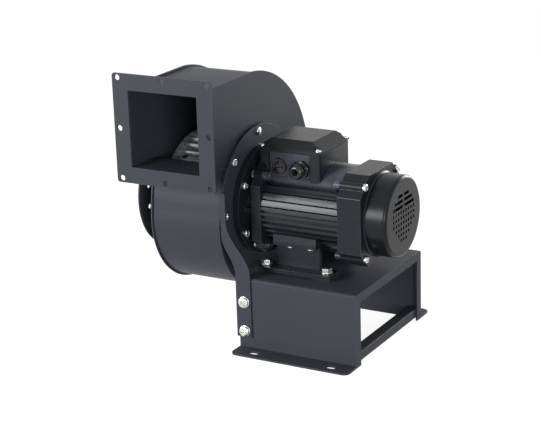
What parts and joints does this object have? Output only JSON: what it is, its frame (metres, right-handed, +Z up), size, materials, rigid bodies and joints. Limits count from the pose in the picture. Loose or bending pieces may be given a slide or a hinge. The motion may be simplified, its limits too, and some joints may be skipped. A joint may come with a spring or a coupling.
{
  "type": "dc blower fan",
  "caption": "Centrifugal scroll blower with square outlet flange and round inlet flange, directly driven by a foot-mounted finned dc motor on a sheet-metal stand.",
  "frame": {"origin": "centre of the four floor slots, on the floor", "axes": "+X along the shaft from the inlet to the fan cowl, -Y out of the outlet, +Z up"},
  "size_m": [0.362, 0.2946, 0.373],
  "materials": {
    "coated_sheet": "satin powder coat",
    "coated_casting": "satin enamel over a casting",
    "coated_cowl": "satin powder coat",
    "zinc_plate": "bright zinc",
    "galvanised_sheet": "galvanised",
    "black_rubber": "matt",
    "black_plastic": "moulded",
    "machined_steel": "turned",
    "bearing_steel": "ground",
    "brass": "satin",
    "lamination_steel": "stacked sheet",
    "copper_winding": "enamelled wire",
    "magnet": "sintered"
  },
  "bodies": {
    "blower": {"base_stand": "coated_sheet", "cross_bar": "coated_sheet", "support_plate": "coated_sheet", "arm_bolts": "zinc_plate", "arm_nuts": "zinc_plate", "scroll_side_motor": "coated_sheet", "scroll_side_inlet": "coated_sheet", "scroll_wrapper": "coated_sheet", "outlet_flange": "coated_sheet", "inlet_collar": "coated_sheet", "inlet_flange": "coated_sheet", "casing_gasket": "black_rubber", "casing_screws": "zinc_plate", "drive_end_shield": "coated_casting", "flange_screws": "zinc_plate", "motor_frame": "coated_casting", "rear_end_shield": "coated_casting", "shield_screws": "zinc_plate", "motor_feet": "coated_casting", "foot_screws": "zinc_plate", "foot_bolts": "zinc_plate", "foot_nuts": "zinc_plate", "fan_cowl": "coated_cowl", "cowl_grille": "coated_cowl", "terminal_box": "coated_casting", "lid_gasket": "black_rubber", "terminal_box_lid": "coated_casting", "lid_screws": "zinc_plate", "terminal_block": "black_plastic", "terminal_studs": "brass", "cable_gland": "black_plastic", "gland_cap": "black_plastic", "blanking_plug": "black_plastic", "stator_core": "lamination_steel", "stator_windings": "copper_winding", "drive_bearing_outer": "bearing_steel", "rear_bearing_outer": "bearing_steel", "shaft_seal": "black_rubber", "wave_washer": "machined_steel"},
    "rotor": {"shaft": "machined_steel", "shaft_key": "machined_steel", "rotor_core": "lamination_steel", "rotor_magnets": "magnet", "drive_bearing_inner": "bearing_steel", "rear_bearing_inner": "bearing_steel", "cooling_fan": "black_plastic", "fan_clip": "machined_steel", "impeller_hub": "machined_steel", "impeller_backplate": "galvanised_sheet", "impeller_blades": "galvanised_sheet", "impeller_ring": "galvanised_sheet", "impeller_rivets": "zinc_plate", "impeller_washer": "zinc_plate", "impeller_bolt": "zinc_plate"},
    "ball_sets": {"bearing_balls": "bearing_steel", "bearing_cages": "brass"}
  },
  "joints": [
    {"name": "shaft_spin", "type": "hinge", "parent": "blower", "child": "rotor", "pos_m": [0, 0, 0.18], "axis": [1, 0, 0], "continuous": true},
    {"name": "ball_orbit", "type": "hinge", "parent": "blower", "child": "ball_sets", "pos_m": [-0.0795, 0, 0.18], "axis": [1, 0, 0], "continuous": true}
  ],
  "couplings": [
    {"joint": "ball_orbit", "follows": "shaft_spin", "ratio": 0.3807}
  ]
}
